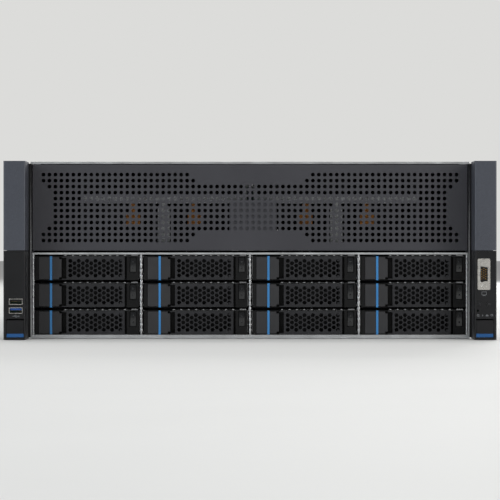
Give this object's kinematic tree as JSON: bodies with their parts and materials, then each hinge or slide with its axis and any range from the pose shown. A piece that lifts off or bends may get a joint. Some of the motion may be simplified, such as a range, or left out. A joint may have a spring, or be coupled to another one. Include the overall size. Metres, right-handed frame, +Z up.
{
  "type": "rack server",
  "caption": "Rack server four units high: hot-swap drive carriers under a perforated fan panel, rack ears, cards, supplies and a lift-off lid.",
  "frame": {"origin": "middle of the underside", "axes": "+X to the right seen from the front, +Y to the rear, +Z up"},
  "size_m": [0.4826, 0.86, 0.1755],
  "materials": {
    "zinc_steel": "zinc-coated sheet steel, satin",
    "panel_paint": "dark grey powder coat",
    "ear_housing": "black moulding below, grey metallic paint above",
    "port_metal": "tinned socket shells",
    "black_plastic": "fine-textured moulding",
    "lever_plastic": "dark grey moulding",
    "blue_plastic": "blue touch point moulding",
    "carrier_and_drive": "cast aluminium drive in a black moulded head",
    "fan_plastic": "black glass-filled moulding",
    "card_metal": "bead-blasted aluminium shroud",
    "circuit_board": "green solder mask",
    "supply_metal": "nickel-plated sheet case"
  },
  "bodies": {
    "chassis": {"chassis_tub": "zinc_steel", "drive_cage": "zinc_steel", "drive_backplane": "circuit_board", "gpu_front_panel": "panel_paint", "left_ear": "ear_housing", "right_ear": "ear_housing", "front_ports": "port_metal", "fan_trays": "fan_plastic", "gpu_cards": "card_metal", "system_board": "circuit_board"},
    "drive_carrier_r1_c1": {"drive_carrier_r1_c1": "carrier_and_drive"},
    "carrier_lever_r1_c1": {"carrier_lever_r1_c1": "lever_plastic"},
    "release_button_r1_c1": {"release_button_r1_c1": "lever_plastic"},
    "drive_carrier_r1_c2": {"drive_carrier_r1_c2": "carrier_and_drive"},
    "carrier_lever_r1_c2": {"carrier_lever_r1_c2": "lever_plastic"},
    "release_button_r1_c2": {"release_button_r1_c2": "lever_plastic"},
    "drive_carrier_r1_c3": {"drive_carrier_r1_c3": "carrier_and_drive"},
    "carrier_lever_r1_c3": {"carrier_lever_r1_c3": "lever_plastic"},
    "release_button_r1_c3": {"release_button_r1_c3": "lever_plastic"},
    "drive_carrier_r1_c4": {"drive_carrier_r1_c4": "carrier_and_drive"},
    "carrier_lever_r1_c4": {"carrier_lever_r1_c4": "lever_plastic"},
    "release_button_r1_c4": {"release_button_r1_c4": "lever_plastic"},
    "drive_carrier_r2_c1": {"drive_carrier_r2_c1": "carrier_and_drive"},
    "carrier_lever_r2_c1": {"carrier_lever_r2_c1": "lever_plastic"},
    "release_button_r2_c1": {"release_button_r2_c1": "lever_plastic"},
    "drive_carrier_r2_c2": {"drive_carrier_r2_c2": "carrier_and_drive"},
    "carrier_lever_r2_c2": {"carrier_lever_r2_c2": "lever_plastic"},
    "release_button_r2_c2": {"release_button_r2_c2": "lever_plastic"},
    "drive_carrier_r2_c3": {"drive_carrier_r2_c3": "carrier_and_drive"},
    "carrier_lever_r2_c3": {"carrier_lever_r2_c3": "lever_plastic"},
    "release_button_r2_c3": {"release_button_r2_c3": "lever_plastic"},
    "drive_carrier_r2_c4": {"drive_carrier_r2_c4": "carrier_and_drive"},
    "carrier_lever_r2_c4": {"carrier_lever_r2_c4": "lever_plastic"},
    "release_button_r2_c4": {"release_button_r2_c4": "lever_plastic"},
    "drive_carrier_r3_c1": {"drive_carrier_r3_c1": "carrier_and_drive"},
    "carrier_lever_r3_c1": {"carrier_lever_r3_c1": "lever_plastic"},
    "release_button_r3_c1": {"release_button_r3_c1": "lever_plastic"},
    "drive_carrier_r3_c2": {"drive_carrier_r3_c2": "carrier_and_drive"},
    "carrier_lever_r3_c2": {"carrier_lever_r3_c2": "lever_plastic"},
    "release_button_r3_c2": {"release_button_r3_c2": "lever_plastic"},
    "drive_carrier_r3_c3": {"drive_carrier_r3_c3": "carrier_and_drive"},
    "carrier_lever_r3_c3": {"carrier_lever_r3_c3": "lever_plastic"},
    "release_button_r3_c3": {"release_button_r3_c3": "lever_plastic"},
    "drive_carrier_r3_c4": {"drive_carrier_r3_c4": "carrier_and_drive"},
    "carrier_lever_r3_c4": {"carrier_lever_r3_c4": "lever_plastic"},
    "release_button_r3_c4": {"release_button_r3_c4": "lever_plastic"},
    "left_ear_latch": {"left_ear_latch": "black_plastic"},
    "right_ear_latch": {"right_ear_latch": "black_plastic"},
    "power_button": {"power_button": "black_plastic"},
    "id_button": {"id_button": "black_plastic"},
    "top_cover": {"top_cover": "zinc_steel"},
    "cover_latch": {"cover_latch": "blue_plastic"},
    "psu_1": {"psu_1": "supply_metal"},
    "psu_2": {"psu_2": "supply_metal"},
    "psu_3": {"psu_3": "supply_metal"},
    "psu_4": {"psu_4": "supply_metal"},
    "fan_rotor_1": {"fan_rotor_1": "fan_plastic"},
    "fan_rotor_2": {"fan_rotor_2": "fan_plastic"},
    "fan_rotor_3": {"fan_rotor_3": "fan_plastic"},
    "fan_rotor_4": {"fan_rotor_4": "fan_plastic"}
  },
  "joints": [
    {"name": "carrier_slide_r1_c1", "type": "slide", "parent": "chassis", "child": "drive_carrier_r1_c1", "axis": [0, -1, 0], "range_m": [0, 0.16]},
    {"name": "lever_hinge_r1_c1", "type": "hinge", "parent": "drive_carrier_r1_c1", "child": "carrier_lever_r1_c1", "pos_m": [-0.12745, -0.395, 0.01575], "axis": [0, 0, 1], "range_deg": [0, 65]},
    {"name": "button_press_r1_c1", "type": "slide", "parent": "drive_carrier_r1_c1", "child": "release_button_r1_c1", "axis": [0, 1, 0], "range_m": [0, 0.0015], "stiffness_N_per_m": 800, "springref_m": -0.0005},
    {"name": "carrier_slide_r1_c2", "type": "slide", "parent": "chassis", "child": "drive_carrier_r1_c2", "axis": [0, -1, 0], "range_m": [0, 0.16]},
    {"name": "lever_hinge_r1_c2", "type": "hinge", "parent": "drive_carrier_r1_c2", "child": "carrier_lever_r1_c2", "pos_m": [-0.01945, -0.395, 0.01575], "axis": [0, 0, 1], "range_deg": [0, 65]},
    {"name": "button_press_r1_c2", "type": "slide", "parent": "drive_carrier_r1_c2", "child": "release_button_r1_c2", "axis": [0, 1, 0], "range_m": [0, 0.0015], "stiffness_N_per_m": 800, "springref_m": -0.0005},
    {"name": "carrier_slide_r1_c3", "type": "slide", "parent": "chassis", "child": "drive_carrier_r1_c3", "axis": [0, -1, 0], "range_m": [0, 0.16]},
    {"name": "lever_hinge_r1_c3", "type": "hinge", "parent": "drive_carrier_r1_c3", "child": "carrier_lever_r1_c3", "pos_m": [0.08855, -0.395, 0.01575], "axis": [0, 0, 1], "range_deg": [0, 65]},
    {"name": "button_press_r1_c3", "type": "slide", "parent": "drive_carrier_r1_c3", "child": "release_button_r1_c3", "axis": [0, 1, 0], "range_m": [0, 0.0015], "stiffness_N_per_m": 800, "springref_m": -0.0005},
    {"name": "carrier_slide_r1_c4", "type": "slide", "parent": "chassis", "child": "drive_carrier_r1_c4", "axis": [0, -1, 0], "range_m": [0, 0.16]},
    {"name": "lever_hinge_r1_c4", "type": "hinge", "parent": "drive_carrier_r1_c4", "child": "carrier_lever_r1_c4", "pos_m": [0.19655, -0.395, 0.01575], "axis": [0, 0, 1], "range_deg": [0, 65]},
    {"name": "button_press_r1_c4", "type": "slide", "parent": "drive_carrier_r1_c4", "child": "release_button_r1_c4", "axis": [0, 1, 0], "range_m": [0, 0.0015], "stiffness_N_per_m": 800, "springref_m": -0.0005},
    {"name": "carrier_slide_r2_c1", "type": "slide", "parent": "chassis", "child": "drive_carrier_r2_c1", "axis": [0, -1, 0], "range_m": [0, 0.16]},
    {"name": "lever_hinge_r2_c1", "type": "hinge", "parent": "drive_carrier_r2_c1", "child": "carrier_lever_r2_c1", "pos_m": [-0.12745, -0.395, 0.04275], "axis": [0, 0, 1], "range_deg": [0, 65]},
    {"name": "button_press_r2_c1", "type": "slide", "parent": "drive_carrier_r2_c1", "child": "release_button_r2_c1", "axis": [0, 1, 0], "range_m": [0, 0.0015], "stiffness_N_per_m": 800, "springref_m": -0.0005},
    {"name": "carrier_slide_r2_c2", "type": "slide", "parent": "chassis", "child": "drive_carrier_r2_c2", "axis": [0, -1, 0], "range_m": [0, 0.16]},
    {"name": "lever_hinge_r2_c2", "type": "hinge", "parent": "drive_carrier_r2_c2", "child": "carrier_lever_r2_c2", "pos_m": [-0.01945, -0.395, 0.04275], "axis": [0, 0, 1], "range_deg": [0, 65]},
    {"name": "button_press_r2_c2", "type": "slide", "parent": "drive_carrier_r2_c2", "child": "release_button_r2_c2", "axis": [0, 1, 0], "range_m": [0, 0.0015], "stiffness_N_per_m": 800, "springref_m": -0.0005},
    {"name": "carrier_slide_r2_c3", "type": "slide", "parent": "chassis", "child": "drive_carrier_r2_c3", "axis": [0, -1, 0], "range_m": [0, 0.16]},
    {"name": "lever_hinge_r2_c3", "type": "hinge", "parent": "drive_carrier_r2_c3", "child": "carrier_lever_r2_c3", "pos_m": [0.08855, -0.395, 0.04275], "axis": [0, 0, 1], "range_deg": [0, 65]},
    {"name": "button_press_r2_c3", "type": "slide", "parent": "drive_carrier_r2_c3", "child": "release_button_r2_c3", "axis": [0, 1, 0], "range_m": [0, 0.0015], "stiffness_N_per_m": 800, "springref_m": -0.0005},
    {"name": "carrier_slide_r2_c4", "type": "slide", "parent": "chassis", "child": "drive_carrier_r2_c4", "axis": [0, -1, 0], "range_m": [0, 0.16]},
    {"name": "lever_hinge_r2_c4", "type": "hinge", "parent": "drive_carrier_r2_c4", "child": "carrier_lever_r2_c4", "pos_m": [0.19655, -0.395, 0.04275], "axis": [0, 0, 1], "range_deg": [0, 65]},
    {"name": "button_press_r2_c4", "type": "slide", "parent": "drive_carrier_r2_c4", "child": "release_button_r2_c4", "axis": [0, 1, 0], "range_m": [0, 0.0015], "stiffness_N_per_m": 800, "springref_m": -0.0005},
    {"name": "carrier_slide_r3_c1", "type": "slide", "parent": "chassis", "child": "drive_carrier_r3_c1", "axis": [0, -1, 0], "range_m": [0, 0.16]},
    {"name": "lever_hinge_r3_c1", "type": "hinge", "parent": "drive_carrier_r3_c1", "child": "carrier_lever_r3_c1", "pos_m": [-0.12745, -0.395, 0.06975], "axis": [0, 0, 1], "range_deg": [0, 65]},
    {"name": "button_press_r3_c1", "type": "slide", "parent": "drive_carrier_r3_c1", "child": "release_button_r3_c1", "axis": [0, 1, 0], "range_m": [0, 0.0015], "stiffness_N_per_m": 800, "springref_m": -0.0005},
    {"name": "carrier_slide_r3_c2", "type": "slide", "parent": "chassis", "child": "drive_carrier_r3_c2", "axis": [0, -1, 0], "range_m": [0, 0.16]},
    {"name": "lever_hinge_r3_c2", "type": "hinge", "parent": "drive_carrier_r3_c2", "child": "carrier_lever_r3_c2", "pos_m": [-0.01945, -0.395, 0.06975], "axis": [0, 0, 1], "range_deg": [0, 65]},
    {"name": "button_press_r3_c2", "type": "slide", "parent": "drive_carrier_r3_c2", "child": "release_button_r3_c2", "axis": [0, 1, 0], "range_m": [0, 0.0015], "stiffness_N_per_m": 800, "springref_m": -0.0005},
    {"name": "carrier_slide_r3_c3", "type": "slide", "parent": "chassis", "child": "drive_carrier_r3_c3", "axis": [0, -1, 0], "range_m": [0, 0.16]},
    {"name": "lever_hinge_r3_c3", "type": "hinge", "parent": "drive_carrier_r3_c3", "child": "carrier_lever_r3_c3", "pos_m": [0.08855, -0.395, 0.06975], "axis": [0, 0, 1], "range_deg": [0, 65]},
    {"name": "button_press_r3_c3", "type": "slide", "parent": "drive_carrier_r3_c3", "child": "release_button_r3_c3", "axis": [0, 1, 0], "range_m": [0, 0.0015], "stiffness_N_per_m": 800, "springref_m": -0.0005},
    {"name": "carrier_slide_r3_c4", "type": "slide", "parent": "chassis", "child": "drive_carrier_r3_c4", "axis": [0, -1, 0], "range_m": [0, 0.16]},
    {"name": "lever_hinge_r3_c4", "type": "hinge", "parent": "drive_carrier_r3_c4", "child": "carrier_lever_r3_c4", "pos_m": [0.19655, -0.395, 0.06975], "axis": [0, 0, 1], "range_deg": [0, 65]},
    {"name": "button_press_r3_c4", "type": "slide", "parent": "drive_carrier_r3_c4", "child": "release_button_r3_c4", "axis": [0, 1, 0], "range_m": [0, 0.0015], "stiffness_N_per_m": 800, "springref_m": -0.0005},
    {"name": "left_latch_hinge", "type": "hinge", "parent": "chassis", "child": "left_ear_latch", "pos_m": [-0.2297, -0.4272, 0.0169], "axis": [-1, 0, 0], "range_deg": [0, 50]},
    {"name": "right_latch_hinge", "type": "hinge", "parent": "chassis", "child": "right_ear_latch", "pos_m": [0.2297, -0.4272, 0.0169], "axis": [-1, 0, 0], "range_deg": [0, 50]},
    {"name": "power_press", "type": "slide", "parent": "chassis", "child": "power_button", "axis": [0, 1, 0], "range_m": [0, 0.001], "stiffness_N_per_m": 600, "springref_m": -0.0005},
    {"name": "id_press", "type": "slide", "parent": "chassis", "child": "id_button", "axis": [0, 1, 0], "range_m": [0, 0.001], "stiffness_N_per_m": 600, "springref_m": -0.0005},
    {"name": "cover_lift", "type": "slide", "parent": "chassis", "child": "top_cover", "axis": [0, 0, 1], "range_m": [0, 0.15]},
    {"name": "cover_latch_hinge", "type": "hinge", "parent": "top_cover", "child": "cover_latch", "pos_m": [0, -0.0415, 0.1721], "axis": [-1, 0, 0], "range_deg": [0, 80]},
    {"name": "psu_slide_1", "type": "slide", "parent": "chassis", "child": "psu_1", "axis": [0, 1, 0], "range_m": [0, 0.19]},
    {"name": "psu_slide_2", "type": "slide", "parent": "chassis", "child": "psu_2", "axis": [0, 1, 0], "range_m": [0, 0.19]},
    {"name": "psu_slide_3", "type": "slide", "parent": "chassis", "child": "psu_3", "axis": [0, 1, 0], "range_m": [0, 0.19]},
    {"name": "psu_slide_4", "type": "slide", "parent": "chassis", "child": "psu_4", "axis": [0, 1, 0], "range_m": [0, 0.19]},
    {"name": "fan_spin_1", "type": "hinge", "parent": "chassis", "child": "fan_rotor_1", "pos_m": [-0.129, -0.34, 0.12975], "axis": [0, 1, 0], "continuous": true},
    {"name": "fan_spin_2", "type": "hinge", "parent": "chassis", "child": "fan_rotor_2", "pos_m": [-0.045, -0.34, 0.12975], "axis": [0, 1, 0], "continuous": true},
    {"name": "fan_spin_3", "type": "hinge", "parent": "chassis", "child": "fan_rotor_3", "pos_m": [0.045, -0.34, 0.12975], "axis": [0, 1, 0], "continuous": true},
    {"name": "fan_spin_4", "type": "hinge", "parent": "chassis", "child": "fan_rotor_4", "pos_m": [0.129, -0.34, 0.12975], "axis": [0, 1, 0], "continuous": true}
  ]
}
